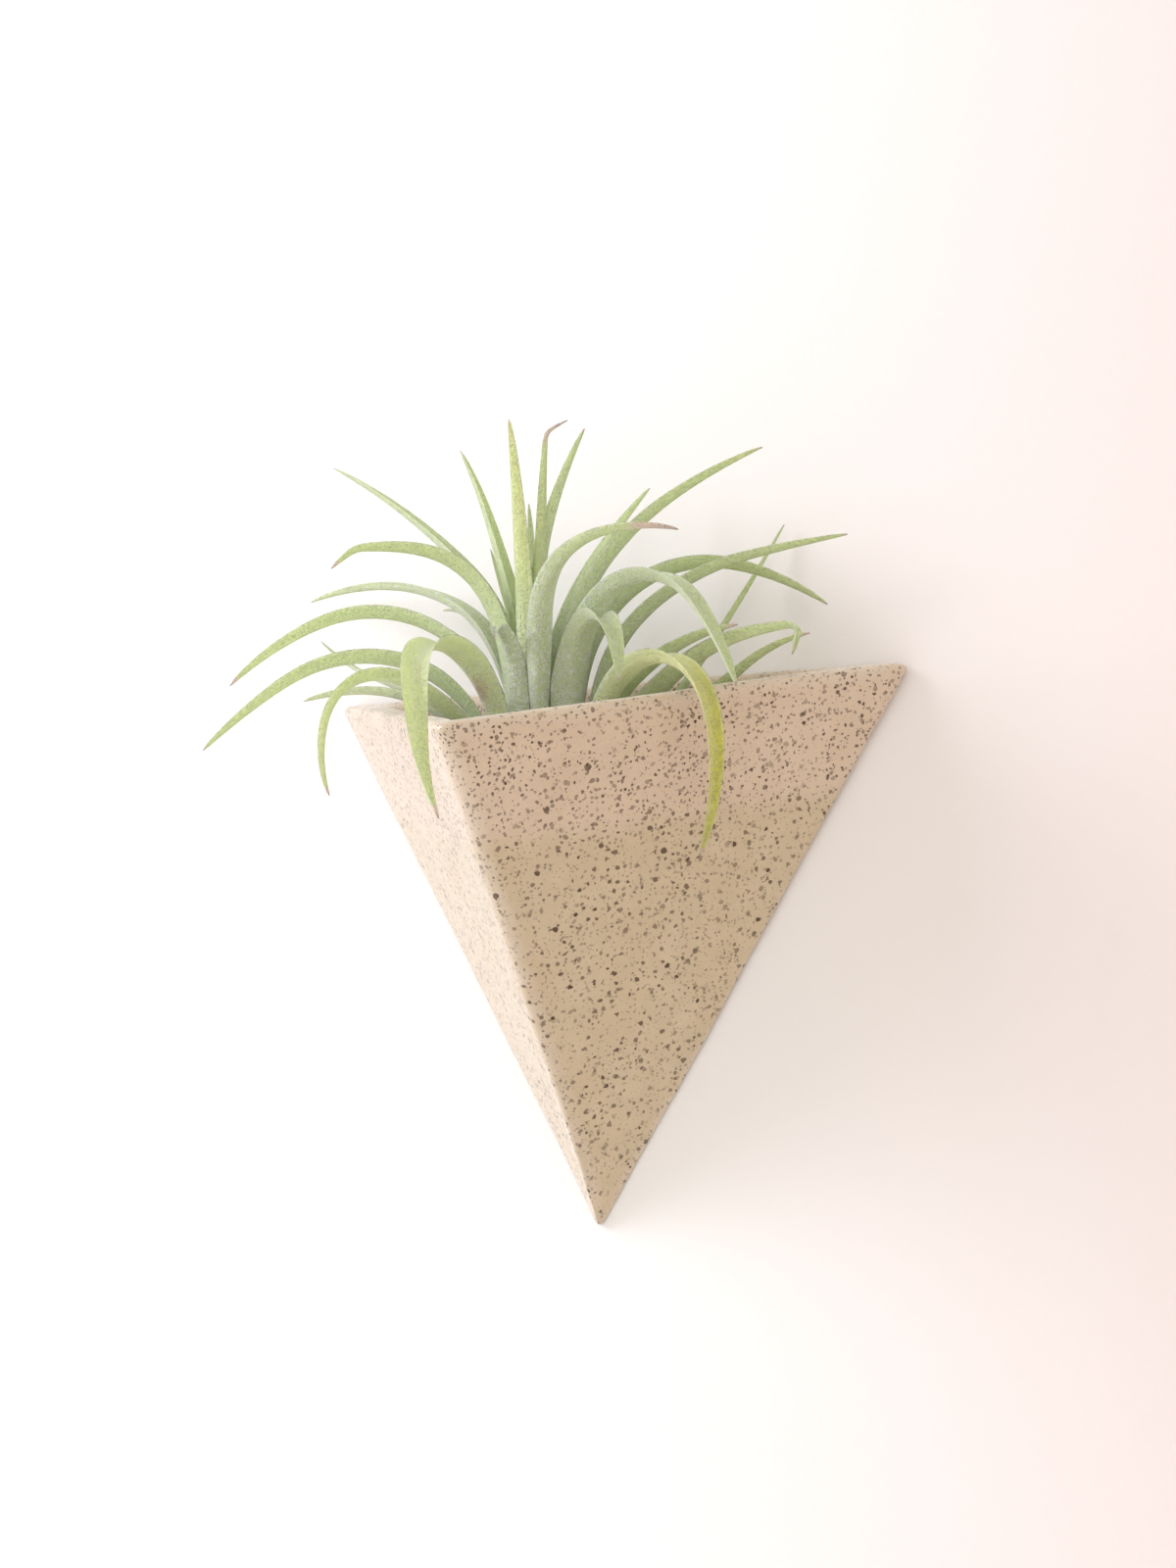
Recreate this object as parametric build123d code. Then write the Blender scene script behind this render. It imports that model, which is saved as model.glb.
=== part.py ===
from build123d import *
import math
import os

# Frame: +X right, +Z up, the wall is the plane Y = 0 and the pocket stands out along -Y.
# The origin is the middle of the hanging hole's mouth, on the wall.
# All lengths are in millimetres.

# Pocket: an upside-down pyramid of three clay slabs
RIM_WIDTH = 140.0
WALL_HEIGHT = 115.0
FRONT_REACH = 71.5
FRONT_DROP = 21.5
SLAB_THICKNESS = 6.0
HOLE_BELOW_RIM = 14.0
HOLE_DIAMETER = 6.0

# Softened edges of the pocket
ARRIS_ROUND = 4.5
SIDE_ROUND = 1.8
RIM_ROUND = 1.0
TIP_FLAT = 1.4

# Clay coils smoothed into the inside corners
FRONT_COVE = 8.0
SIDE_COVE = 5.0

# Air plant: bulb seated between the three slabs, and the neck that carries the leaves
BULB_BELOW_RIM = 34.4
SEAT_CLEARANCE = 0.3
CROWN_FORWARD = 10.5
CROWN_RISE = 26.5
CROWN_ASIDE = 1.0
NECK_RADIUS = 10.6
CROWN_RADIUS = 3.6
NECK_SINK = 3.2
LEAF_SEAT_DEPTH = 0.6
NECK_START_SHARE = 0.32

# Leaves: a channelled blade that tapers to a point
LEAF_LENGTH = 100.0
LEAF_WIDTH = 10.0
LEAF_THICKNESS = 1.3
TIP_WIDTH = 0.5
TIP_THICKNESS = 0.3
EDGE_SHARE = 0.3
CHANNEL_SHARE = 0.38
CHANNEL_CENTRE_SHARE = 0.48
ROOT_WIDTH_SHARE = 0.3
ROOT_SPREAD_SHARE = 0.35
TAPER_POWER = 0.5
THINNING_SHARE = 0.75
DRY_TIP_SHARE = 0.90
DRY_BEND_SHARE = 0.03
LEAF_STATIONS = 19
PITCH_SHARES = (0.0, 0.25, 0.5, 0.75, 1.0)

# A leaf that the clay would stop grows on in small steps until it arches clear of it
CLAY_CLEARANCE = 0.3
GROWTH_STEP_SHARE = 0.02
GROWTH_STEPS = 60

# Each leaf, lowest on the neck first: height share up the neck, compass heading in degrees
# (0 is +X, 90 is the wall), turn of the heading towards the tip, pitch in degrees at the root,
# each quarter and the tip, extra bend of the dry tip, length share and width share.
LEAF_SHARES = (
    (0.00, 181, 0, (70, 52, 28, 4, -12), 0, 0.65, 0.68),
    (0.00, 14, 0, (50, 50, 44, 40, 12), 0, 0.56, 0.68),
    (0.02, 331, 0, (86, 50, -20, -82, -118), 0, 0.89, 0.76),
    (0.02, 222, 0, (72, 50, 22, -74, -112), 0, 0.70, 0.78),
    (0.12, 165, 0, (62, 42, 22, 22, 40), 0, 0.80, 0.42),
    (0.10, 357, 0, (70, 54, 36, 10, -5), -100, 0.64, 0.84),
    (0.12, 203, 0, (80, 54, 6, -36, -46), 0, 0.86, 0.84),
    (0.15, 30, 0, (54, 54, 58, 60, 62), 0, 0.71, 0.45),
    (0.15, 245, 125, (74, 60, -22, -78, -62), 0, 0.86, 0.90),
    (0.22, 318, 0, (82, 90, 52, -40, -84), 0, 0.60, 0.96),
    (0.22, 150, 0, (82, 70, 56, 32, 8), 0, 0.66, 0.42),
    (0.25, 352, 0, (78, 64, 37, 20, 2), 0, 0.50, 0.74),
    (0.28, 163, 0, (86, 68, 28, 8, -6), 0, 1.02, 0.66),
    (0.28, 190, 0, (90, 62, 20, -22, -42), 0, 0.92, 0.84),
    (0.32, 12, 0, (88, 76, 38, 12, 8), 0, 0.82, 0.66),
    (0.40, 100, 0, (94, 82, 72, 68, 64), 0, 0.48, 0.56),
    (0.42, 212, 0, (88, 86, 62, 5, -16), -30, 0.74, 0.90),
    (0.42, 334, 0, (88, 80, 6, -48, -64), 0, 0.88, 0.82),
    (0.50, 170, 0, (88, 74, 43, 36, 29), 0, 0.99, 0.60),
    (0.50, 24, 0, (94, 81, 38, -12, -34), 0, 0.83, 0.86),
    (0.53, 249, 50, (74, 82, 86, 26, -62), 0, 0.36, 0.70),
    (0.52, 286, 112, (76, 84, 38, 12, -8), 0, 0.70, 0.66),
    (0.62, 75, 0, (94, 86, 78, 70, 62), 0, 0.46, 0.56),
    (0.62, 141, 0, (84, 66, 58, 54, 56), 0, 0.59, 0.32),
    (0.71, 10, 0, (91, 86, 53, 32, 20), 0, 0.79, 0.66),
    (0.74, 183, 0, (92, 85, 73, 70, 62), 0, 0.67, 0.68),
    (0.85, 57, 0, (96, 84, 65, 56, 50), 0, 0.62, 0.72),
    (0.86, 345, 0, (104, 102, 86, 68, 56), 0, 0.65, 0.56),
    (0.90, 128, 0, (84, 76, 72, 69, 66), 0, 0.56, 0.36),
    (0.92, 232, 0, (89, 88, 85, 84, 82), 0, 0.64, 0.76),
    (1.00, 300, 50, (92, 92, 89, 88, 86), -72, 0.65, 0.38),
)

# Corners of the pyramid as if its edges were sharp
LEFT_CORNER = Vector(-RIM_WIDTH / 2, 0, HOLE_BELOW_RIM)
RIGHT_CORNER = Vector(RIM_WIDTH / 2, 0, HOLE_BELOW_RIM)
FRONT_CORNER = Vector(0, -FRONT_REACH, HOLE_BELOW_RIM - FRONT_DROP)
TIP = Vector(0, 0, HOLE_BELOW_RIM - WALL_HEIGHT)


def side_normal():
    """Unit normal of the right slab's outer face, pointing into the pocket."""
    normal = (RIGHT_CORNER - TIP).cross(FRONT_CORNER - TIP).normalized()
    inward = LEFT_CORNER - TIP
    return normal if normal.dot(inward) > 0 else normal * -1


def inward_step():
    """Direction along the pocket's axis that moves in from all three walls alike by one."""
    normal = side_normal()
    return Vector(0, -1, (1 + normal.Y) / normal.Z)


def along(start, end, share):
    """Point a share of the way from start to end."""
    return start + (end - start) * share


def rounded_triangle(corners, rounds):
    """Edges of a triangle whose corners are rounded: each line, then the arc that follows it."""
    arrivals = []
    departures = []
    middles = []
    for index, corner in enumerate(corners):
        before = (corners[index - 1] - corner).normalized()
        after = (corners[(index + 1) % len(corners)] - corner).normalized()
        half = before.get_angle(after) / 2
        setback = rounds[index] / math.tan(math.radians(half))
        reach = rounds[index] / math.sin(math.radians(half))
        bisector = (before + after).normalized()
        arrivals.append(corner + before * setback)
        departures.append(corner + after * setback)
        middles.append(corner + bisector * (reach - rounds[index]))
    edges = []
    for index in range(len(corners)):
        following = (index + 1) % len(corners)
        edges.append(Edge.make_line(departures[index], arrivals[following]))
        if rounds[following] > 0:
            edges.append(
                Edge.make_three_point_arc(
                    arrivals[following], middles[following], departures[following]
                )
            )
    return edges


def pyramid(apex, front_round, side_round):
    """Pyramid of the pocket's size with its point down at apex, cut off just above the point.

    The edges that run to the point are rounded by radii that shrink towards it.
    """
    rim = (LEFT_CORNER, FRONT_CORNER, RIGHT_CORNER)
    tip_share = TIP_FLAT / WALL_HEIGHT
    rings = []
    for share in (tip_share, 1):
        corners = [apex + (corner - TIP) * share for corner in rim]
        rounds = [side_round * share, front_round * share, side_round * share]
        rings.append(rounded_triangle(corners, rounds))
    faces = [Face(Wire(ring)) for ring in rings]
    for low, high in zip(*rings):
        if low.geom_type == GeomType.LINE:
            first = Edge.make_line(low @ 0, high @ 0)
            last = Edge.make_line(low @ 1, high @ 1)
            faces.append(Face(Wire([low, last, high, first])))
        else:
            faces.append(Face.make_surface_from_curves(low, high))
    solid = Solid(Shell(faces))
    return solid if solid.volume > 0 else Solid(Shell([-face for face in faces]))


def hollow(front_cove, side_cove):
    """Inside of the pocket, one slab's thickness in from every wall and open past the rim."""
    return pyramid(TIP + inward_step() * SLAB_THICKNESS, front_cove, side_cove)


def pocket():
    """The whole hollow pocket with its coils, rim softening and hanging hole, as one solid."""
    shell = pyramid(TIP, ARRIS_ROUND, SIDE_ROUND) - hollow(FRONT_COVE, SIDE_COVE)
    rim_face = shell.faces().sort_by(Axis.Z)[-1]
    shell = shell.fillet(RIM_ROUND, rim_face.edges())
    hole_depth = SLAB_THICKNESS + RIM_ROUND
    bore = Cylinder(HOLE_DIAMETER / 2, hole_depth, align=(Align.CENTER, Align.CENTER, Align.MIN))
    return shell - Plane.XZ * bore


def pocket_parts():
    """The pocket taken apart at its seams: three slabs and three coils."""
    clay = pocket()
    slabs = clay - hollow(0, 0)
    coils = (clay & hollow(0, 0)).solids()
    inward = inward_step()
    left_mitre = Plane(TIP, x_dir=inward, z_dir=(LEFT_CORNER - TIP).cross(inward))
    right_mitre = Plane(TIP, x_dir=inward, z_dir=inward.cross(RIGHT_CORNER - TIP))
    front_seam = Plane.YZ
    behind_left = split(slabs, bisect_by=left_mitre, keep=Keep.TOP)
    before_left = split(slabs, bisect_by=left_mitre, keep=Keep.BOTTOM)
    parts = {
        "back_slab": split(behind_left, bisect_by=right_mitre, keep=Keep.TOP),
        "left_slab": split(before_left, bisect_by=front_seam, keep=Keep.BOTTOM),
    }
    before_right = split(slabs, bisect_by=right_mitre, keep=Keep.BOTTOM)
    parts["right_slab"] = split(before_right, bisect_by=front_seam, keep=Keep.TOP)
    by_side = sorted(coils, key=lambda coil: coil.center().X)
    parts["left_seam_coil"], parts["front_seam_coil"], parts["right_seam_coil"] = by_side
    return parts


def rim_slope():
    """How far the rim drops for each millimetre away from the wall."""
    return FRONT_DROP / FRONT_REACH


def bulb_inset():
    """Distance of the bulb's centre from the outside of each of the three walls."""
    return (WALL_HEIGHT - BULB_BELOW_RIM) / (inward_step().Z + rim_slope())


def bulb_centre():
    """Centre of the ball that touches all three slabs at its depth below the rim."""
    return TIP + inward_step() * bulb_inset()


def crown_centre():
    """Top of the neck, where the youngest leaves stand."""
    return bulb_centre() + Vector(-CROWN_ASIDE, -CROWN_FORWARD, CROWN_RISE)


def neck_point(share):
    """Point on the neck's axis, from where the oldest leaves sit up to the crown."""
    start = along(bulb_centre(), crown_centre(), NECK_START_SHARE)
    return along(start, crown_centre(), share)


def plant_base():
    """Bulb and tapering neck, leaning forward out of the pocket."""
    axis = crown_centre() - bulb_centre()
    neck_start = axis.length * NECK_START_SHARE
    slope = (NECK_RADIUS - CROWN_RADIUS) / (axis.length - neck_start)
    foot = neck_start - NECK_SINK
    foot_radius = NECK_RADIUS + slope * NECK_SINK
    shoulder = (CROWN_RADIUS, axis.length)
    crown_top = (0, axis.length + CROWN_RADIUS)
    outline = [
        Line((0, foot), (foot_radius, foot)),
        Line((foot_radius, foot), shoulder),
        RadiusArc(shoulder, crown_top, -CROWN_RADIUS),
        Line(crown_top, (0, foot)),
    ]
    neck = revolve(Plane.XZ * make_face(outline), Axis.Z)
    bulb = Sphere(bulb_inset() - SLAB_THICKNESS - SEAT_CLEARANCE)
    return Plane(bulb_centre(), z_dir=axis) * (bulb + neck)


def between(stations, values, share):
    """Straight-line reading of values given at stations."""
    for index in range(len(stations) - 1):
        if share <= stations[index + 1]:
            span = stations[index + 1] - stations[index]
            part = (share - stations[index]) / span
            return values[index] + (values[index + 1] - values[index]) * part
    return values[-1]


def leaf_direction(heading, turn, pitches, dry_bend, share):
    """Heading and pitch of a leaf, in radians, a share of the way along it."""
    bend_share = min(max((share - DRY_TIP_SHARE) / DRY_BEND_SHARE, 0), 1)
    pitch = between(PITCH_SHARES, pitches, share) + dry_bend * bend_share
    return math.radians(heading + turn * share * share), math.radians(pitch)


def leaf_section(width, thickness):
    """Channelled blade seen on end: hollow above, rounded below, with blunt edges."""
    sink = CHANNEL_SHARE * width
    brim = sink * CHANNEL_CENTRE_SHARE
    keel = brim - sink
    edge = thickness * EDGE_SHARE
    left, right = (-width / 2, brim), (width / 2, brim)
    left_top, right_top = (-width / 2, brim + edge), (width / 2, brim + edge)
    outline = [
        ThreePointArc(left, (0, keel), right),
        Line(right, right_top),
        ThreePointArc(right_top, (0, keel + thickness), left_top),
        Line(left_top, left),
    ]
    return make_face(outline)


def leaf_stations(row, growth_share):
    """Place, width and thickness of a leaf's sections along its arching midrib."""
    height_share, heading, turn, pitches, dry_bend, length_share, width_share = row
    length = LEAF_LENGTH * length_share * growth_share
    full_width = LEAF_WIDTH * width_share
    start = neck_point(height_share)
    root_radius = NECK_RADIUS + (CROWN_RADIUS - NECK_RADIUS) * height_share - LEAF_SEAT_DEPTH
    angle = math.radians(heading)
    point = start + Vector(math.cos(angle), math.sin(angle), 0) * root_radius
    step = 1 / (LEAF_STATIONS - 1)
    stations = []
    for index in range(LEAF_STATIONS):
        share = index * step
        compass, pitch = leaf_direction(heading, turn, pitches, dry_bend, share)
        tangent = Vector(
            math.cos(pitch) * math.cos(compass), math.cos(pitch) * math.sin(compass), math.sin(pitch)
        )
        side = Vector(-math.sin(compass), math.cos(compass), 0)
        if index:
            point = point + (tangent + previous).normalized() * (length * step)
        previous = tangent
        spread_share = min(share / ROOT_SPREAD_SHARE, 1)
        swell_share = ROOT_WIDTH_SHARE + (1 - ROOT_WIDTH_SHARE) * spread_share
        width = max(full_width * swell_share * (1 - share) ** TAPER_POWER, TIP_WIDTH)
        thickness = max(LEAF_THICKNESS * (1 - THINNING_SHARE * share), TIP_THICKNESS)
        stations.append((Plane(point, x_dir=side, z_dir=tangent), width, thickness))
    return stations


def clears_clay(point):
    """Whether a point lies above the rim, in front of the pocket or well inside its hollow."""
    right_wall = side_normal()
    left_wall = Vector(-right_wall.X, right_wall.Y, right_wall.Z)
    back_wall = Vector(0, -1, 0)
    above_rim = point.Z - HOLE_BELOW_RIM - rim_slope() * point.Y
    insets = [(point - TIP).dot(wall) for wall in (left_wall, right_wall, back_wall)]
    in_front = min(insets[:2]) < -CLAY_CLEARANCE
    in_hollow = min(insets) > SLAB_THICKNESS + CLAY_CLEARANCE
    return above_rim > CLAY_CLEARANCE or in_front or in_hollow


def leaf_clears(stations):
    """Whether the underside of a leaf keeps off the clay at its middle and both edges."""
    for place, width, _ in stations:
        sink = CHANNEL_SHARE * width
        brim = sink * CHANNEL_CENTRE_SHARE
        under = ((-width / 2, brim), (0, brim - sink), (width / 2, brim))
        if not all(clears_clay(place.from_local_coords((x, y, 0))) for x, y in under):
            return False
    return True


def leaf(row):
    """One leaf, lofted through its sections, long enough to arch clear of the clay."""
    for step in range(GROWTH_STEPS):
        stations = leaf_stations(row, 1 + step * GROWTH_STEP_SHARE)
        if leaf_clears(stations):
            break
    return loft([place * leaf_section(width, thickness) for place, width, thickness in stations])


def build():
    """Every node of the model by name."""
    parts = pocket_parts()
    base = plant_base()
    parts["plant_base"] = base
    for number, row in enumerate(LEAF_SHARES, start=1):
        parts[f"leaf_{number:02d}"] = leaf(row) - base
    return parts


os.makedirs("parts", exist_ok=True)
for name, shape in build().items():
    export_step(shape, os.path.join("parts", name + ".step"))
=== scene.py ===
"""Dresses the wall-hung air plant holder: speckled clay pocket, downy air plant, wall and light."""

import logging
import math
from dataclasses import dataclass, field
from enum import Enum
from typing import Iterable, Sequence

import bpy
import numpy as np
from mathutils import Matrix, Vector, noise

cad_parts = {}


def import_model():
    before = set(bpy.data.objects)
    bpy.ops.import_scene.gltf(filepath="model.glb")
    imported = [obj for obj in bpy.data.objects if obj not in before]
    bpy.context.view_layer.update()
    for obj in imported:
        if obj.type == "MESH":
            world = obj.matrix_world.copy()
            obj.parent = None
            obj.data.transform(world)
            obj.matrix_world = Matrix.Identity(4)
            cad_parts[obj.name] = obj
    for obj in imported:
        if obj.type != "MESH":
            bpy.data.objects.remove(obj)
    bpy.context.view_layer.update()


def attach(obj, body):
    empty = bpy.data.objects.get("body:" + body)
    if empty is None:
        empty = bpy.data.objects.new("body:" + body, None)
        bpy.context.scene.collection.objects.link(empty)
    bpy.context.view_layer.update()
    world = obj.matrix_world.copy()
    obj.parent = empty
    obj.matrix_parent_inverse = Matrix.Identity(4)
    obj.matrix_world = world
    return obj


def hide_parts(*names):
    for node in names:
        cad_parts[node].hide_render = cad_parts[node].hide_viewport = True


MM = 0.001
LOG = logging.getLogger("air_plant_holder")

Colour = tuple[float, float, float]


def shade(red: int, green: int, blue: int) -> Colour:
    """Linear colour of a display colour.

    Args:
        red: Red from 0 to 255.
        green: Green from 0 to 255.
        blue: Blue from 0 to 255.

    Returns:
        The colour as linear red, green and blue from 0 to 1.
    """
    parts = [level / 255 for level in (red, green, blue)]
    return tuple(p / 12.92 if p <= 0.04045 else ((p + 0.055) / 1.055) ** 2.4 for p in parts)


def smooth_step(low: float, high: float, value: np.ndarray) -> np.ndarray:
    """Eased step from 0 at low to 1 at high.

    Args:
        low: Value where the step starts.
        high: Value where the step ends.
        value: Numbers to read the step at.

    Returns:
        The step's height for each number.
    """
    share = np.clip((value - low) / (high - low), 0, 1)
    return share * share * (3 - 2 * share)


def unit(vector: np.ndarray) -> np.ndarray:
    """Vector, or each row of vectors, at length one."""
    return vector / np.linalg.norm(vector, axis=-1, keepdims=True)


def make_mesh(
    name: str,
    points: np.ndarray,
    faces: Iterable[Sequence[int]],
    marks: dict[str, np.ndarray],
) -> bpy.types.Object:
    """Smooth-shaded object with one number per point for each mark.

    Args:
        name: Name of the object.
        points: Its points, one row each, in metres.
        faces: Its faces as point numbers.
        marks: Name of each mark and its value at every point.

    Returns:
        The object, linked to the scene.
    """
    mesh = bpy.data.meshes.new(name)
    mesh.from_pydata(points.tolist(), [], list(faces))
    for mark, values in marks.items():
        layer = mesh.attributes.new(mark, "FLOAT", "POINT")
        layer.data.foreach_set("value", np.asarray(values, dtype=np.float32))
    mesh.shade_smooth()
    mesh.update()
    piece = bpy.data.objects.new(name, mesh)
    bpy.context.scene.collection.objects.link(piece)
    return piece


def tube_faces(rings: int, around: int) -> list[tuple[int, int, int, int]]:
    """Quads between closed rings of points that follow one another.

    Args:
        rings: How many rings there are.
        around: How many points each ring has.

    Returns:
        The quads as point numbers.
    """
    quads = []
    for ring in range(rings - 1):
        for spot in range(around):
            beside = (spot + 1) % around
            quads.append(
                (
                    ring * around + spot,
                    ring * around + beside,
                    (ring + 1) * around + beside,
                    (ring + 1) * around + spot,
                )
            )
    return quads


@dataclass(frozen=True)
class Mottle:
    """Soft patches in a surface.

    Attributes:
        size: Size of the patches, in metres.
        detail: How many finer layers the patches have.
        low: Value of the pattern where a patch starts.
        high: Value of the pattern where a patch is full.
        share: How strong a full patch is, from 0 to 1.
    """

    size: float
    detail: float
    low: float
    high: float
    share: float


@dataclass(frozen=True)
class Bumps:
    """Small bumps in a surface.

    Attributes:
        size: Size of the bumps, in metres.
        detail: How many finer layers the bumps have.
        depth: Depth of the bumps, in metres.
    """

    size: float
    detail: float
    depth: float


class ShaderBench:
    """A material being wired, with short names for the nodes it needs."""

    def __init__(self, name: str) -> None:
        """Starts an empty material.

        Args:
            name: Name of the material.
        """
        self.material = bpy.data.materials.new(name)
        self.material.use_nodes = True
        self.tree = self.material.node_tree
        self.tree.nodes.clear()
        self.output = self.tree.nodes.new("ShaderNodeOutputMaterial")

    def node(self, kind: str, settings: dict | None = None, **inputs: object) -> bpy.types.Node:
        """Adds a node.

        Args:
            kind: Blender's name for the node's type.
            settings: Properties of the node itself.
            **inputs: Socket names with underscores for blanks, and the value or socket for each.

        Returns:
            The node.
        """
        made = self.tree.nodes.new(kind)
        for name, value in (settings or {}).items():
            setattr(made, name, value)
        for name, value in inputs.items():
            self.feed(made.inputs[name.replace("_", " ")], value)
        return made

    def feed(self, socket: bpy.types.NodeSocket, value: object) -> None:
        """Sets a socket to a value, or links it to another socket.

        Args:
            socket: Socket to set.
            value: Number, colour, vector or socket.
        """
        if isinstance(value, bpy.types.NodeSocket):
            self.tree.links.new(value, socket)
        elif isinstance(value, tuple) and len(value) == 3 and socket.type == "RGBA":
            socket.default_value = (*value, 1)
        else:
            socket.default_value = value

    def maths(self, operation: str, *values: object) -> bpy.types.NodeSocket:
        """Result of one sum on numbers or sockets.

        Args:
            operation: Blender's name for the sum.
            *values: Its numbers or sockets, in order.

        Returns:
            The socket with the result.
        """
        made = self.node("ShaderNodeMath", {"operation": operation})
        for socket, value in zip(made.inputs, values):
            self.feed(socket, value)
        return made.outputs[0]

    def product(self, first: object, *others: object) -> bpy.types.NodeSocket:
        """Product of numbers or sockets.

        Args:
            first: First number or socket.
            *others: The rest of them.

        Returns:
            The socket with the product.
        """
        for other in others:
            first = self.maths("MULTIPLY", first, other)
        return first

    def step(self, value: object, low: object, high: object) -> bpy.types.NodeSocket:
        """Eased step of a value from 0 at low to 1 at high, either way round.

        Args:
            value: Number or socket to read.
            low: Where the step is 0.
            high: Where the step is 1.

        Returns:
            The socket with the step's height.
        """
        made = self.node("ShaderNodeMapRange", {"interpolation_type": "SMOOTHSTEP"})
        for name, number in (("Value", value), ("From Min", low), ("From Max", high)):
            self.feed(made.inputs[name], number)
        return made.outputs["Result"]

    def blend(self, share: object, first: object, second: object) -> bpy.types.NodeSocket:
        """Colour between two colours.

        Args:
            share: 0 for the first colour, 1 for the second.
            first: Colour or socket.
            second: Colour or socket.

        Returns:
            The socket with the colour.
        """
        made = self.node("ShaderNodeMix", {"data_type": "RGBA"})
        self.feed(made.inputs["Factor"], share)
        self.feed(made.inputs[6], first)
        self.feed(made.inputs[7], second)
        return made.outputs[2]

    def mark(self, name: str) -> bpy.types.NodeSocket:
        """Number that the mesh carries under this name."""
        return self.node("ShaderNodeAttribute", {"attribute_name": name}).outputs["Fac"]

    def place(self) -> bpy.types.NodeSocket:
        """Place on the object, in metres."""
        return self.node("ShaderNodeTexCoord").outputs["Object"]

    def grain(self, place: object, size: float, detail: float = 2.0) -> bpy.types.NodeSocket:
        """Soft random pattern from 0 to 1 about the given size across, in metres."""
        made = self.node("ShaderNodeTexNoise", Vector=place, Scale=1 / size, Detail=detail)
        return made.outputs["Fac"]

    def patches(self, place: object, mottle: Mottle) -> bpy.types.NodeSocket:
        """Mask of soft patches, from 0 to the mottle's share."""
        pattern = self.grain(place, mottle.size, mottle.detail)
        return self.product(self.step(pattern, mottle.low, mottle.high), mottle.share)

    def warp(self, place: object, size: float, reach: float) -> bpy.types.NodeSocket:
        """Place shifted at random.

        Args:
            place: Socket with the place.
            size: Size of the pattern that shifts it, in metres.
            reach: Furthest shift, in metres.

        Returns:
            The socket with the shifted place.
        """
        pattern = self.node("ShaderNodeTexNoise", Vector=place, Scale=1 / size).outputs["Color"]
        centred = self.node("ShaderNodeVectorMath", {"operation": "SUBTRACT"})
        self.feed(centred.inputs[0], pattern)
        centred.inputs[1].default_value = (0.5, 0.5, 0.5)
        shift = self.node("ShaderNodeVectorMath", {"operation": "MULTIPLY_ADD"})
        self.feed(shift.inputs[0], centred.outputs[0])
        shift.inputs[1].default_value = (2 * reach, 2 * reach, 2 * reach)
        self.feed(shift.inputs[2], place)
        return shift.outputs[0]

    def relief(self, height: object, depth: float, beneath: object = None) -> bpy.types.NodeSocket:
        """Surface direction of a relief.

        Args:
            height: Socket with the height from 0 to 1.
            depth: Depth of the relief, in metres.
            beneath: Relief that this one lies on, if any.

        Returns:
            The socket with the direction.
        """
        made = self.node("ShaderNodeBump", Height=height, Distance=depth)
        if beneath is not None:
            self.feed(made.inputs["Normal"], beneath)
        return made.outputs["Normal"]

    def bumpy(self, place: object, bumps: Bumps, beneath: object = None) -> bpy.types.NodeSocket:
        """Surface direction of small bumps, on top of another relief if one is given."""
        return self.relief(self.grain(place, bumps.size, bumps.detail), bumps.depth, beneath)

    def surface(self, shader: bpy.types.NodeSocket) -> bpy.types.Material:
        """Ends the material with this shader and returns it."""
        self.tree.links.new(shader, self.output.inputs["Surface"])
        return self.material


@dataclass(frozen=True)
class Speckle:
    """One size of iron speck in the glaze.

    Attributes:
        spacing: Distance between specks, in metres.
        largest_share: Radius of the largest speck, as a share of the spacing.
        rarity: Power that makes large specks rarer.
        strength: How dark the specks are, from 0 to 1.
    """

    spacing: float
    largest_share: float
    rarity: float
    strength: float


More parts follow.
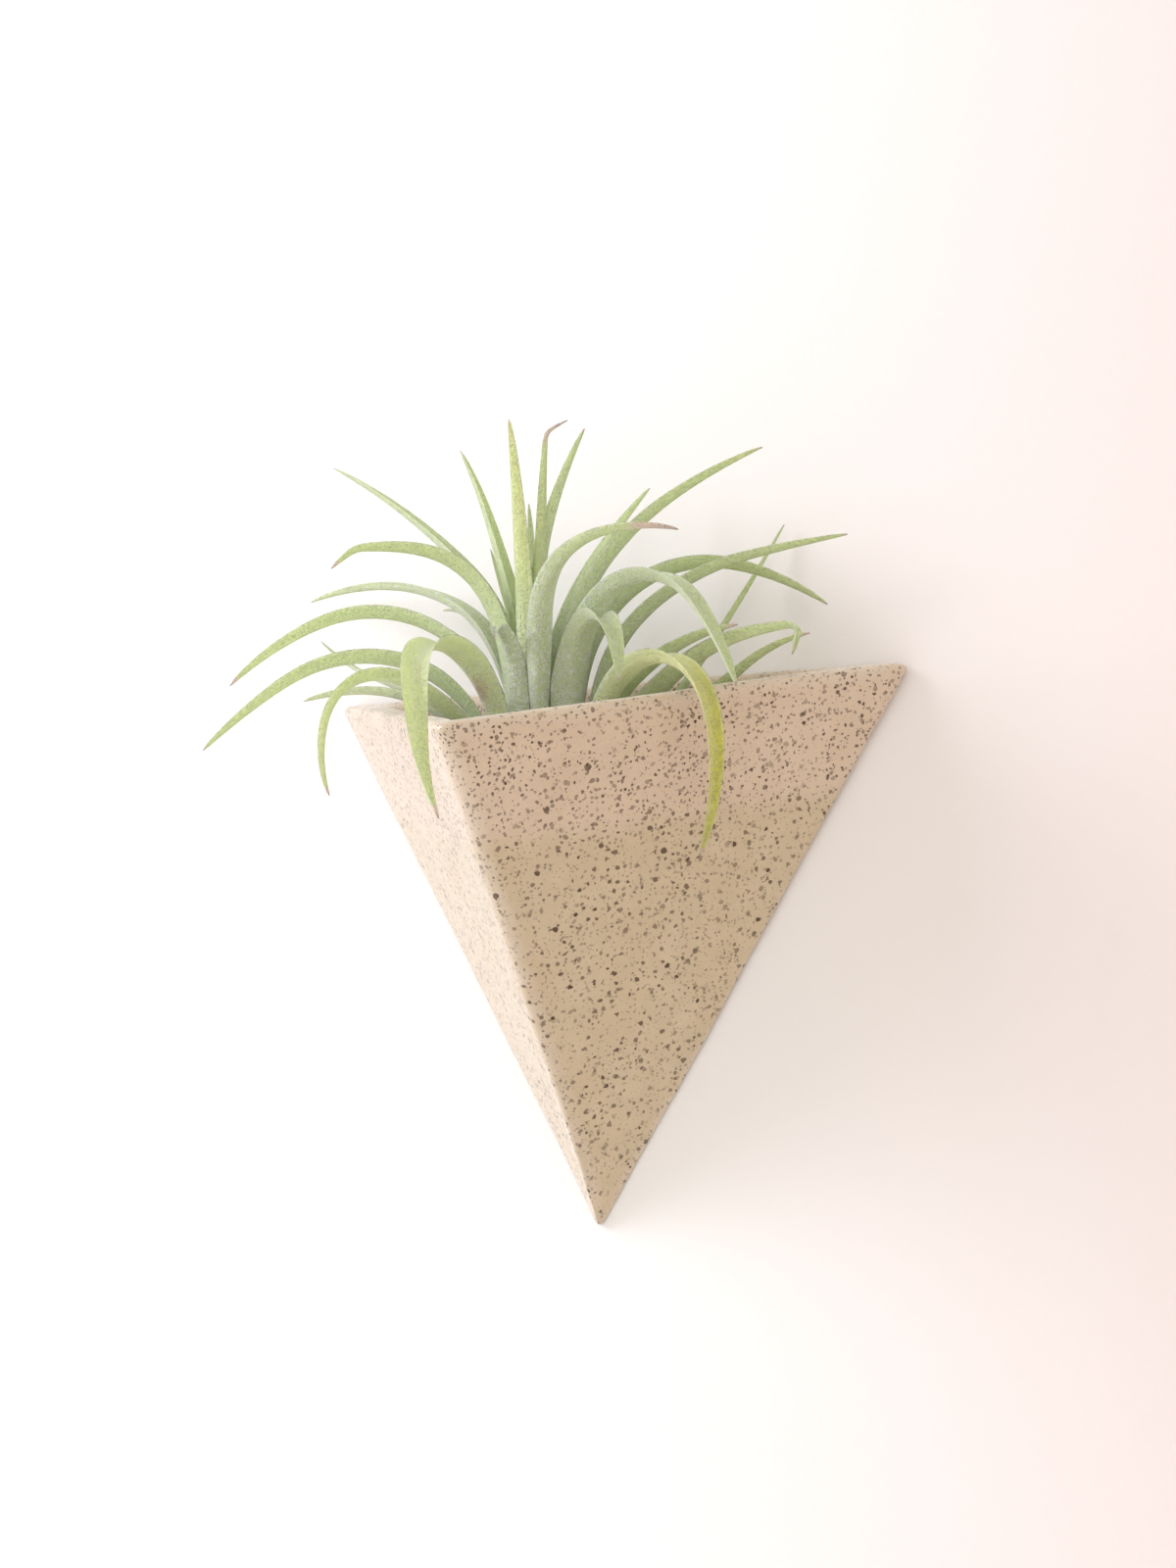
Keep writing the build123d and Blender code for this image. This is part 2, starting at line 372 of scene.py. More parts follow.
@dataclass(frozen=True)
class StonewareGlaze:
    """Satin glaze over speckled clay, rosy above the dip line and buff below it."""

    rosy: Colour = shade(200, 181, 157)
    buff: Colour = shade(190, 174, 144)
    broken: Colour = shade(202, 188, 168)
    clouded: Colour = shade(186, 160, 126)
    washed: Colour = shade(222, 203, 176)
    iron: Colour = shade(74, 50, 26)
    rust: Colour = shade(140, 110, 72)
    seam_brown: Colour = shade(118, 88, 66)
    clouds: Mottle = Mottle(14 * MM, 3, 0.35, 0.7, 0.18)
    washes: Mottle = Mottle(5 * MM, 4, 0.4, 0.75, 0.16)
    breaks: Mottle = Mottle(4 * MM, 3, 0.2, 0.6, 0.55)
    crowds: Mottle = Mottle(9 * MM, 2, 0.3, 0.62, 0.4)
    seam_brown_share: float = 0.8
    dip_share: float = 0.22
    dip_softness_share: float = 0.03
    dip_wander_share: float = 0.048
    dip_wander_size: float = 22 * MM
    dip_fray_share: float = 0.024
    dip_fray_size: float = 3 * MM
    dust: Speckle = Speckle(0.75 * MM, 0.32, 1.1, 0.6)
    fine: Speckle = Speckle(0.9 * MM, 0.48, 0.9, 1.0)
    coarse: Speckle = Speckle(1.5 * MM, 0.42, 0.9, 1.0)
    blots: Speckle = Speckle(3.6 * MM, 0.22, 1.8, 1.0)
    fine_below_dip: float = 0.6
    coarse_above_dip: float = 0.7
    speck_core_share: float = 0.78
    faintest_speck: float = 0.65
    jag_size: float = 0.9 * MM
    jag_reach: float = 0.5 * MM
    grit: Bumps = Bumps(1.4 * MM, 3, 0.12 * MM)
    swell: Bumps = Bumps(7 * MM, 2, 0.25 * MM)
    pit_depth: float = 0.08 * MM
    smoothest: float = 0.24
    roughness_range: float = 0.25
    roughness_size: float = 2 * MM
    ior: float = 1.5
    chalkiness: float = 0.5
    chalk_roughness: float = 0.35

    def specks(self, bench: ShaderBench, place: object, size: Speckle) -> bpy.types.NodeSocket:
        """Mask of the specks of one size.

        Args:
            bench: Material being wired.
            place: Socket with the place on the clay.
            size: The specks to make.

        Returns:
            The socket with the mask, 1 in a speck.
        """
        cells = bench.node(
            "ShaderNodeTexVoronoi", {"feature": "F1"}, Vector=place, Scale=1 / size.spacing
        )
        chance = bench.node("ShaderNodeSeparateColor", Color=cells.outputs["Color"]).outputs
        radius = bench.product(bench.maths("POWER", chance[0], size.rarity), size.largest_share)
        core = bench.product(radius, self.speck_core_share)
        spot = bench.step(cells.outputs["Distance"], radius, core)
        faintest = self.faintest_speck
        depth = bench.maths("MULTIPLY_ADD", chance[1], 1 - faintest, faintest)
        return bench.product(spot, depth, size.strength)

    def below_dip(
        self, bench: ShaderBench, place: object, rim_height: float, rim_slope: float, depth: float
    ) -> bpy.types.NodeSocket:
        """Mask of the clay below the dip line, which wanders a little.

        Args:
            bench: Material being wired.
            place: Socket with the place on the clay.
            rim_height: Height of the rim at the wall, in metres.
            rim_slope: How much the rim drops for each metre away from the wall.
            depth: Height from the rim to the tip at the wall, in metres.

        Returns:
            The socket with the mask, 1 below the line.
        """
        axes = bench.node("ShaderNodeSeparateXYZ", Vector=place).outputs
        rim = bench.maths("MULTIPLY_ADD", axes[1], rim_slope, rim_height)
        line = bench.maths("DIVIDE", bench.maths("SUBTRACT", rim, axes[2]), depth)
        for size, share in (
            (self.dip_wander_size, self.dip_wander_share),
            (self.dip_fray_size, self.dip_fray_share),
        ):
            wander = bench.maths("SUBTRACT", bench.grain(place, size), 0.5)
            line = bench.maths("MULTIPLY_ADD", wander, share, line)
        half = self.dip_softness_share
        return bench.step(line, self.dip_share - half, self.dip_share + half)

    def ground(
        self, bench: ShaderBench, place: object, below_dip: object
    ) -> bpy.types.NodeSocket:
        """Colour of the glaze between the specks.

        Args:
            bench: Material being wired.
            place: Socket with the place on the clay.
            below_dip: Socket with the mask of the clay below the dip line.

        Returns:
            The socket with the colour.
        """
        body = bench.blend(below_dip, self.rosy, self.buff)
        body = bench.blend(bench.patches(place, self.clouds), body, self.clouded)
        body = bench.blend(bench.patches(place, self.washes), body, self.washed)
        edge = bench.product(bench.mark("edge"), bench.patches(place, self.breaks))
        return bench.blend(edge, body, self.broken)

    def material(self, rim_height: float, rim_slope: float, depth: float) -> bpy.types.Material:
        """The finished glaze.

        Args:
            rim_height: Height of the rim at the wall, in metres.
            rim_slope: How much the rim drops for each metre away from the wall.
            depth: Height from the rim to the tip at the wall, in metres.

        Returns:
            The material.
        """
        bench = ShaderBench("speckled_stoneware")
        place = bench.place()
        below_dip = self.below_dip(bench, place, rim_height, rim_slope, depth)
        body = self.ground(bench, place, below_dip)

        jagged = bench.warp(place, self.jag_size, self.jag_reach)
        crowd = bench.maths("ADD", bench.patches(place, self.crowds), 1 - self.crowds.share)
        above = self.coarse_above_dip
        fine_share = bench.maths("MULTIPLY_ADD", below_dip, self.fine_below_dip - 1, 1.0)
        coarse_share = bench.maths("MULTIPLY_ADD", below_dip, 1 - above, above)
        fine = bench.product(self.specks(bench, jagged, self.fine), fine_share, crowd)
        coarse = bench.product(self.specks(bench, jagged, self.coarse), coarse_share, crowd)
        small = bench.maths("MAXIMUM", coarse, fine)
        specks = bench.maths("MAXIMUM", small, self.specks(bench, jagged, self.blots))
        body = bench.blend(self.specks(bench, place, self.dust), body, self.rust)
        body = bench.blend(specks, body, self.iron)
        # Darker brown in the groove of the seam at the front of the rim.
        body = bench.blend(bench.product(bench.mark("groove"), self.seam_brown_share), body, self.seam_brown)

        skin = bench.bumpy(place, self.grit)
        skin = bench.bumpy(place, self.swell, skin)
        skin = bench.relief(bench.maths("SUBTRACT", 1, small), self.pit_depth, skin)
        patchy = bench.grain(place, self.roughness_size)
        roughness = bench.maths("MULTIPLY_ADD", patchy, self.roughness_range, self.smoothest)
        glaze = bench.node(
            "ShaderNodeBsdfPrincipled",
            Base_Color=body,
            Roughness=roughness,
            Normal=skin,
            IOR=self.ior,
            Sheen_Weight=self.chalkiness,
            Sheen_Roughness=self.chalk_roughness,
        )
        return bench.surface(glaze.outputs["BSDF"])


@dataclass(frozen=True)
class LeafSkin:
    """Leaf skin: green under a silver down that is thickest towards the root.

    Each pair of edges holds the values at which a step is 0 and 1.
    """

    green: Colour = shade(228, 240, 182)
    deep: Colour = shade(182, 206, 146)
    lime: Colour = shade(216, 214, 78)
    silver: Colour = shade(244, 247, 240)
    margin: Colour = shade(240, 244, 216)
    straw: Colour = shade(236, 222, 206)
    scorched: Colour = shade(206, 192, 184)
    bruise: Colour = shade(196, 164, 142)
    # Darker green of the painted shade towards the root.
    shaded: Colour = shade(158, 180, 138)
    ribs_across: float = 5
    ribs_along: float = 3
    rib_scale: float = 1.6
    rib_edges: tuple[float, float] = (0.35, 0.68)
    rib_share: float = 0.3
    margin_edges: tuple[float, float] = (0.8, 0.98)
    margin_share: float = 0.4
    hair_size: float = 0.5 * MM
    hair_edges: tuple[float, float] = (0.6, 0.15)
    hair_share: float = 0.55
    tuft_size: float = 1.1 * MM
    tuft_share: float = 0.9
    down_edges: tuple[float, float] = (0.38, 0.85)
    bloom_share: float = 0.1
    shaded_share: float = 0.35
    channel_edges: tuple[float, float] = (0.75, 0.2)
    channel_down: float = 0.3
    dry_fray: float = 0.5
    straw_edges: tuple[float, float] = (0.15, 0.6)
    scorched_edges: tuple[float, float] = (0.85, 1.15)
    down_depth: float = 0.2 * MM
    rib_depth: float = 0.08 * MM
    roughness: float = 0.6
    shine: float = 0.35
    down_sheen: float = 0.9
    down_sheen_roughness: float = 0.5
    glow_share: float = 0.42

    def ribs(self, bench: ShaderBench) -> bpy.types.NodeSocket:
        """Streaks that run along the leaf, different on each leaf.

        Args:
            bench: Material being wired.

        Returns:
            The socket with the streaks, from 0 to 1.
        """
        place = bench.node(
            "ShaderNodeCombineXYZ",
            X=bench.product(bench.mark("across"), self.ribs_across),
            Y=bench.product(bench.mark("along"), self.ribs_along),
            Z=bench.mark("number"),
        ).outputs[0]
        pattern = bench.grain(place, 1 / self.rib_scale, 3)
        return bench.step(pattern, *self.rib_edges)

    def down(
        self, bench: ShaderBench, place: object
    ) -> tuple[bpy.types.NodeSocket, bpy.types.NodeSocket]:
        """Silver down: tufts with single hairs between them.

        Args:
            bench: Material being wired.
            place: Socket with the place on the leaf.

        Returns:
            The socket with the tufts alone, and the one with the whole down.
        """
        cells = bench.node("ShaderNodeTexVoronoi", Vector=place, Scale=1 / self.hair_size)
        hairs = bench.step(cells.outputs["Distance"], *self.hair_edges)
        tufts = bench.grain(place, self.tuft_size, 3)
        hairs = bench.product(hairs, self.hair_share)
        down = bench.maths("MULTIPLY_ADD", tufts, self.tuft_share, hairs)
        return tufts, bench.step(down, *self.down_edges)

    def material(self) -> bpy.types.Material:
        """The finished leaf skin, which reads the marks that each leaf carries.

        Returns:
            The material.
        """
        bench = ShaderBench("downy_leaf")
        ribs = self.ribs(bench)
        tufts, down = self.down(bench, bench.place())
        across = bench.maths("ABSOLUTE", bench.mark("across"))
        colour = bench.blend(bench.mark("depth"), self.green, self.deep)
        colour = bench.blend(bench.mark("lime"), colour, self.lime)
        colour = bench.blend(bench.product(ribs, self.rib_share), colour, self.margin)
        rim = bench.step(across, *self.margin_edges)
        colour = bench.blend(bench.product(rim, self.margin_share), colour, self.margin)

        frost = bench.mark("frost")
        # Painted shade: darker green towards the root, where the down is thickest and the leaves
        # crowd.
        colour = bench.blend(bench.product(frost, self.shaded_share), colour, self.shaded)
        channel = bench.product(bench.mark("upper"), bench.step(across, *self.channel_edges))
        frost = bench.maths("MULTIPLY_ADD", channel, self.channel_down, frost)
        cover = bench.maths("MULTIPLY_ADD", down, 1 - self.bloom_share, self.bloom_share)
        cover = bench.maths("MINIMUM", bench.product(cover, frost), 1)
        colour = bench.blend(cover, colour, self.silver)

        fray = bench.maths("SUBTRACT", tufts, 0.5)
        dry = bench.maths("MULTIPLY_ADD", fray, self.dry_fray, bench.mark("dry"))
        colour = bench.blend(bench.step(dry, *self.straw_edges), colour, self.straw)
        colour = bench.blend(bench.step(dry, *self.scorched_edges), colour, self.scorched)
        colour = bench.blend(bench.mark("bruise"), colour, self.bruise)

        leaf = bench.node(
            "ShaderNodeBsdfPrincipled",
            Base_Color=colour,
            Roughness=self.roughness,
            Normal=bench.relief(ribs, self.rib_depth, bench.relief(down, self.down_depth)),
            Specular_IOR_Level=self.shine,
            Sheen_Weight=self.down_sheen,
            Sheen_Roughness=self.down_sheen_roughness,
        )
        glow = bench.node("ShaderNodeBsdfTranslucent", Color=colour)
        mixed = bench.node("ShaderNodeMixShader")
        shaders = (self.glow_share, leaf.outputs["BSDF"], glow.outputs["BSDF"])
        for socket, value in zip(mixed.inputs, shaders):
            bench.feed(socket, value)
        return bench.surface(mixed.outputs[0])


@dataclass(frozen=True)
class PocketSizes:
    """Sizes of the clay pocket in metres, as in the solids."""

    rim_width: float = 140 * MM
    height: float = 115 * MM
    reach: float = 71.5 * MM
    front_drop: float = 21.5 * MM
    slab: float = 6 * MM
    hole_below_rim: float = 14 * MM
    hole_radius: float = 3 * MM
    arris_round: float = 4.5 * MM
    side_round: float = 1.8 * MM
    rim_round: float = 1.9 * MM
    front_cove: float = 8 * MM
    side_cove: float = 5 * MM
    tip_cut: float = 1.4 * MM

    @property
    def corners(self) -> np.ndarray:
        """Sharp corners of the rim.

        Returns:
            The left, front and right corner, one in each row.
        """
        top = self.hole_below_rim
        return np.array(
            [
                (-self.rim_width / 2, 0, top),
                (0, -self.reach, top - self.front_drop),
                (self.rim_width / 2, 0, top),
            ]
        )

    @property
    def tip(self) -> np.ndarray:
        """Sharp point at the bottom, on the wall."""
        return np.array([0, 0, self.hole_below_rim - self.height])

    @property
    def slope(self) -> float:
        """Drop of the rim for each metre away from the wall."""
        return self.front_drop / self.reach

    @property
    def inward(self) -> np.ndarray:
        """Direction that leads away from all three walls alike.

        Returns:
            A step that is one further from each wall's outside.
        """
        left, front, right = self.corners
        normal = unit(np.cross(right - self.tip, front - self.tip))
        normal = normal if normal @ (left - self.tip) > 0 else -normal
        return np.array([0, -1, (1 + normal[1]) / normal[2]])

    @property
    def inner_tip(self) -> np.ndarray:
        """Sharp point at the bottom of the hollow."""
        return self.tip + self.inward * self.slab

    def below_rim(self, point: np.ndarray) -> float:
        """Height of the rim's plane above a point, in metres."""
        return self.hole_below_rim + self.slope * point[1] - point[2]


@dataclass
class StonewarePocket:
    """The hollow three-sided pocket, hand-built from slabs, as one glazed piece."""

    sizes: PocketSizes = field(default_factory=PocketSizes)
    glaze: StonewareGlaze = field(default_factory=StonewareGlaze)
    side_steps: int = 40
    corner_steps: int = 9
    wall_rings: int = 64
    rim_steps: int = 5
    tip_steps: int = 5
    tip_start_angle: float = 0.15
    tip_reach_share: float = 2.2
    tip_round_share: float = 0.5
    tip_point: float = 0.3 * MM
    glow_widths: tuple[float, float, float] = (1.8 * MM, 2.6 * MM, 1.8 * MM)
    glow_edges: tuple[float, float] = (0.6, 1.5)
    rim_glow: float = 0.9
    rim_glow_depth: float = 1.6 * MM
    lip_glow: float = 0.75
    inner_rim_fade: float = 0.3
    tip_glow: float = 0.4
    inside_glow: float = 0.1
    hand_wobble: float = 0.35 * MM
    wobble_size: float = 26 * MM
    wobble_seed: int = 1
    ripples: float = 4.1
    ripple_share: float = 0.25
    groove_depth: float = 0.9 * MM
    groove_aside: float = -1.2 * MM
    groove_behind: float = 0.5 * MM
    groove_width: float = 2.2 * MM
    groove_length: float = 2.6 * MM
    groove_fall: float = 2.5 * MM
    hole_steps: int = 40
    sharp_angle: float = math.radians(50)

    def ring(self, corners: np.ndarray, rounds: Sequence[float], inset: float) -> np.ndarray:
        """Closed loop of points round a triangle with rounded corners.

        Args:
            corners: The three sharp corners.
            rounds: Radius at each corner.
            inset: How far the sides move in.

        Returns:
            The points, the same number for any triangle.
        """
        arcs = []
        for index, corner in enumerate(corners):
            before = unit(corners[index - 1] - corner)
            after = unit(corners[(index + 1) % 3] - corner)
            half = math.acos(float(before @ after)) / 2
            bisector = unit(before + after)
            centre = corner + bisector * (rounds[index] + inset) / math.sin(half)
            moved = corner + bisector * inset / math.sin(half)
            setback = rounds[index] / math.tan(half)
            start = moved + before * setback - centre
            end = moved + after * setback - centre
            turn = math.pi - 2 * half
            shares = np.linspace(0, 1, self.corner_steps)[:, None]
            arc = np.sin((1 - shares) * turn) * start + np.sin(shares * turn) * end
            arcs.append(centre + arc / math.sin(turn))
        loop = []
        for index, arc in enumerate(arcs):
            following = arcs[(index + 1) % 3][0]
            shares = np.linspace(0, 1, self.side_steps + 1)[1:-1, None]
            loop.append(arc)
            loop.append(arc[-1] + (following - arc[-1]) * shares)
        return np.vstack(loop)

    def outer_ring(self, depth: float, inset: float = 0) -> np.ndarray:
        """Loop round the outside.

        Args:
            depth: Depth below the rim's plane, in metres.
            inset: How far the sides move in.

        Returns:
            The points of the loop.
        """
        sizes = self.sizes
        share = 1 - depth / sizes.height
        corners = sizes.tip + (sizes.corners - sizes.tip) * share
        rounds = np.array([sizes.side_round, sizes.arris_round, sizes.side_round]) * share
        return self.ring(corners, rounds, inset)

    def inner_ring(self, depth: float, inset: float = 0) -> np.ndarray:
        """Loop round the hollow.

        Args:
            depth: Depth below the rim's plane, in metres.
            inset: How far the sides move in.

        Returns:
            The points of the loop.
        """
        sizes = self.sizes
        whole = sizes.below_rim(sizes.inner_tip)
        share = (whole - depth) / sizes.height
        corners = sizes.inner_tip + (sizes.corners - sizes.tip) * share
        rounds = np.array([sizes.side_cove, sizes.front_cove, sizes.side_cove]) * share
        return self.ring(corners, rounds, inset)

    def edge_glow(self, ring: np.ndarray, share: float) -> np.ndarray:
        """How strongly the glaze breaks at the arrises round a loop.

        Args:
            ring: Points of the loop.
            share: Size of the loop against the rim.

        Returns:
            A number from 0 to 1 for each point.
        """
        sizes = self.sizes
        corners = sizes.tip + (sizes.corners - sizes.tip) * share
        full, none = self.glow_edges
        glow = np.zeros(len(ring))
        for corner, width in zip(corners, self.glow_widths):
            away = np.linalg.norm(ring - corner, axis=1)
            glow = np.maximum(glow, 1 - smooth_step(full * width, none * width, away))
        return glow

    def rings(self) -> tuple[list[np.ndarray], list[np.ndarray]]:
        """Every loop from the tip up the outside, over the rim and down the inside.

        Returns:
            The loops, and how strongly the glaze breaks at each of their points.
        """
        sizes = self.sizes
        loops, glows = [], []

        def add(loop: np.ndarray, glow: float | np.ndarray) -> None:
            """Keeps a loop and how strongly the glaze breaks there."""
            loops.append(loop)
            glows.append(np.broadcast_to(glow, len(loop)))

        round_off = sizes.rim_round
        lowest = sizes.height - sizes.tip_cut
        nose = self.tip_reach_share * sizes.tip_cut
        rise = nose - self.tip_round_share * sizes.tip_cut
        for turn in np.linspace(self.tip_start_angle, math.pi / 2, self.tip_steps):
            add(self.outer_ring(lowest - rise * (1 - math.sin(turn))), self.tip_glow)
        for depth in np.linspace(lowest - nose, round_off, self.wall_rings)[1:]:
            loop = self.outer_ring(depth)
            glow = self.edge_glow(loop, 1 - depth / sizes.height)
            away = smooth_step(round_off, round_off + self.rim_glow_depth, np.array(depth))
            add(loop, np.maximum(glow, self.rim_glow * (1 - away)))
        for turn in np.linspace(0, math.pi / 2, self.rim_steps)[1:]:
            inset = round_off * (1 - math.cos(turn))
            add(self.outer_ring(round_off * (1 - math.sin(turn)), inset), 1.0)
        outer, inner = loops[-1], self.inner_ring(0, -round_off)
        for share in np.linspace(0, 1, self.rim_steps)[1:-1]:
            add(outer + (inner - outer) * share, self.lip_glow)
        for turn in np.linspace(0, math.pi / 2, self.rim_steps):
            inset = -round_off * (1 - math.sin(turn))
            fade = self.inner_rim_fade * turn / (math.pi / 2)
            loop = self.inner_ring(round_off * (1 - math.cos(turn)), inset)
            add(loop, self.rim_glow - fade)
        floor = sizes.below_rim(sizes.inner_tip) - sizes.tip_cut
        for depth in np.linspace(round_off, floor, self.wall_rings // 2)[1:]:
            add(self.inner_ring(depth), self.inside_glow)
        return loops, glows

    def by_hand(self, point: np.ndarray) -> np.ndarray:
        """Point moved by the unevenness of hand building, with the back kept flat.

        Args:
            point: Point on the pocket.

        Returns:
            The moved point.
        """
        place = Vector(point) / self.wobble_size
        ripple = noise.noise_vector(place * self.ripples)
        shift = np.array(noise.noise_vector(place)) + np.array(ripple) * self.ripple_share
        shift *= self.hand_wobble
        shift[1] *= float(smooth_step(0, 2 * self.sizes.slab, np.array(-point[1])))
        return point + shift

    def groove(self, point: np.ndarray) -> float:
        """Seam left open where the two front slabs meet at the rim.

        Args:
            point: Point on the pocket.

        Returns:
            How deep the seam is there, from 0 to 1.
        """
        middle = self.inner_ring(0)[:, 1].min() - self.groove_behind
        beside = (point[0] - self.groove_aside) / self.groove_width
        along = (point[1] - middle) / self.groove_length
        below = self.sizes.below_rim(point) / self.groove_fall
        return math.exp(-(beside**2) - along**2 - below**2)

    def build(self) -> bpy.types.Object:
        """Makes the glazed pocket with its hanging hole and puts it on the holder's body.

        Returns:
            The finished piece.
        """
        loops, glows = self.rings()
        around = len(loops[0])
        points = np.vstack(loops)
        edge = np.concatenate(glows)
        grooved = np.array([self.groove(point) for point in points])
        noise.seed_set(self.wobble_seed)
        points = np.array([self.by_hand(point) for point in points])
        points[:, 2] -= grooved * self.groove_depth
        points[:, 1] = np.minimum(points[:, 1], 0)
        faces = tube_faces(len(loops), around)
        ends = []
        for start, sink in ((0, self.tip_point), (len(points) - around, 0.0)):
            ends.append(points[start : start + around].mean(axis=0) - np.array([0, 0, sink]))
            hub = len(points) + len(ends) - 1
            for spot in range(around):
                pair = (start + spot, start + (spot + 1) % around)
                faces.append((hub, *(pair if start else pair[::-1])))
        points = np.vstack([points, ends])
        edge = np.append(edge, (self.tip_glow, 0.0))
        grooved = np.append(grooved, (0.0, 0.0))
        piece = make_mesh("glazed_pocket", points, faces, {"edge": edge, "groove": grooved})
        self.drill(piece)
        piece.data.materials.clear()
        sizes = self.sizes
        piece.data.materials.append(
            self.glaze.material(sizes.hole_below_rim, sizes.slope, sizes.height)
        )
        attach(piece, "holder")
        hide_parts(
            "back_slab",
            "left_slab",
            "right_slab",
            "front_seam_coil",
            "left_seam_coil",
            "right_seam_coil",
        )
        return piece

    def drill(self, piece: bpy.types.Object) -> None:
        """Cuts the hanging hole through the back of the pocket.

        Args:
            piece: The pocket.
        """
        around = self.hole_steps
        turns = np.linspace(0, 2 * math.pi, around, endpoint=False)
        radius = self.sizes.hole_radius
        ring = np.stack([radius * np.cos(turns), 0 * turns, radius * np.sin(turns)], 1)
        ends = (self.sizes.slab, -2 * self.sizes.slab)
        points = np.vstack([ring + np.array([0, end, 0]) for end in ends])
        caps = [tuple(range(around))[::-1], tuple(range(around, 2 * around))]
        cutter = make_mesh("hole_cutter", points, tube_faces(2, around) + caps, {})
        cut = piece.modifiers.new("hole", "BOOLEAN")
        cut.object = cutter
        cut.solver = "EXACT"
        ready = piece.evaluated_get(bpy.context.evaluated_depsgraph_get())
        cut_mesh = bpy.data.meshes.new_from_object(ready)
        piece.modifiers.clear()
        piece.data = cut_mesh
        bpy.data.objects.remove(cutter)
        piece.data.shade_smooth()
        piece.data.set_sharp_from_angle(angle=self.sharp_angle)


class LeafLook(Enum):
    """How a leaf is coloured: down, depth of green, yellowing, dry tip and reach of the down."""

    SILVERY = (1.15, 0.4, 0.0, 0.01, 1.0)
    DOWNY = (0.75, 0.5, 0.0, 0.01, 0.9)
    FRESH = (0.6, 0.5, 0.0, 0.012, 0.6)
    BRIGHT = (0.4, 0.0, 0.3, 0.012, 0.5)
    PALE = (0.9, 0.2, 0.0, 0.008, 1.4)
    BANDED = (0.6, 0.1, 0.05, 0.03, 0.6)
    CHALKY = (1.5, 0.1, 0.0, 0.001, 2.5)
    BLUNT_TIPPED = (0.5, 0.8, 0.0, 0.04, 0.6)
    DRY_TIPPED = (0.6, 0.3, 0.0, 0.025, 0.6)
    PEACH_TIPPED = (1.15, 0.4, 0.0, 0.12, 0.95)
    WITHERED_TIP = (0.5, 0.3, 0.1, 0.11, 0.6)
    YELLOWING = (0.4, 0.0, 1.0, 0.015, 0.5)

    @property
    def down(self) -> float:
        """How much silver down the leaf has at its root."""
        return self.value[0]

    @property
    def depth(self) -> float:
        """How dark its green is."""
        return self.value[1]

    @property
    def yellow(self) -> float:
        """How yellow it has turned."""
        return self.value[2]

    @property
    def dry_share(self) -> float:
        """Share of its length that has dried."""
        return self.value[3]

    @property
    def down_reach(self) -> float:
        """Share of its length at which the down ends."""
        return self.value[4]


@dataclass(frozen=True)
class LeafPlan:
    """One leaf: where it sits on the neck, how it arches, and its size and look.

    Attributes:
        height_share: Height of its root, as a share of the way up the neck.
        heading: Compass direction in which it sets off, in degrees from the right.
        turn: How far it has turned sideways at its tip, in degrees.
        pitches: Its rise in degrees at the root, at each quarter and at the tip.
        dry_bend: Bend at the start of its dry tip, in degrees.
        length_share: Its length, as a share of the longest usual leaf.
        width_share: Its width, as a share of the broadest usual leaf.
        look: How it is coloured.
    """

    height_share: float
    heading: float
    turn: float
    pitches: tuple[float, float, float, float, float]
    dry_bend: float
    length_share: float
    width_share: float
    look: LeafLook


